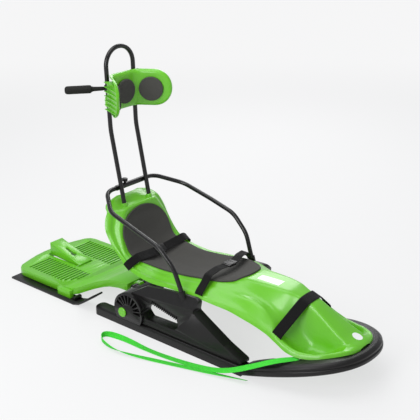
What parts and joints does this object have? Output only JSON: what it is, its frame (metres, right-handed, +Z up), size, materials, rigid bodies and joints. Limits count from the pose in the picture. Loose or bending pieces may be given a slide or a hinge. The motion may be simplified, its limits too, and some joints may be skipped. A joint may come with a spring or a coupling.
{
  "type": "seated snow sled with trailing standing platform",
  "caption": "Seated snow sled with moulded seat shell on two runners, nose bumper, push hoop with headrest, side rails and a hinged standing platform on skis with a brake pedal.",
  "frame": {"origin": "middle of the footprint on the floor, without the tow strap", "axes": "+Z up, +Y towards the rear platform, the nose points to -Y, +X is the rider's left"},
  "size_m": [0.7665, 1.9086, 1.181],
  "materials": {
    "green_plastic": "glossy moulded",
    "black_plastic": "satin moulded",
    "dark_foam": "closed-cell foam",
    "black_webbing": "woven webbing",
    "black_tube": "gloss powder coat",
    "bright_steel": "plain steel",
    "green_webbing": "woven webbing"
  },
  "bodies": {
    "sled": {"seat_shell": "green_plastic", "seat_pad": "dark_foam", "nose_bumper": "black_plastic", "runner_left": "black_plastic", "runner_right": "black_plastic", "strut_left": "black_plastic", "strut_right": "black_plastic", "strut_cap_left": "green_plastic", "strut_cap_right": "green_plastic", "hoop": "black_tube", "headrest_shell": "green_plastic", "headrest_pad_centre": "dark_foam", "headrest_pad_left": "dark_foam", "headrest_pad_right": "dark_foam", "handle_left": "black_tube", "handle_right": "black_tube", "grip_left": "dark_foam", "grip_right": "dark_foam", "rail_left": "black_tube", "rail_right": "black_tube", "rail_sleeve": "black_plastic", "sleeve_knob": "black_plastic", "waist_belt_left": "black_webbing", "waist_belt_right": "black_webbing", "waist_buckle": "black_plastic", "thigh_belt_left": "black_webbing", "thigh_belt_right": "black_webbing", "thigh_buckle": "black_plastic", "foot_strap": "black_webbing", "crossmember": "black_plastic", "hinge_pin": "bright_steel", "tow_strap": "green_webbing"},
    "trailer": {"platform": "green_plastic", "ski_left": "black_plastic", "ski_right": "black_plastic", "ski_block_left": "black_plastic", "ski_block_right": "black_plastic", "pedal_pin": "bright_steel"},
    "pedal": {"brake_pedal": "green_plastic"}
  },
  "joints": [
    {"name": "trailer_pitch", "type": "hinge", "parent": "sled", "child": "trailer", "pos_m": [0, 0.222, 0.116], "axis": [1, 0, 0], "range_deg": [-10, 10]},
    {"name": "pedal_press", "type": "hinge", "parent": "trailer", "child": "pedal", "pos_m": [0, 0.705, 0.042], "axis": [1, 0, 0], "range_deg": [-12, 0]}
  ]
}
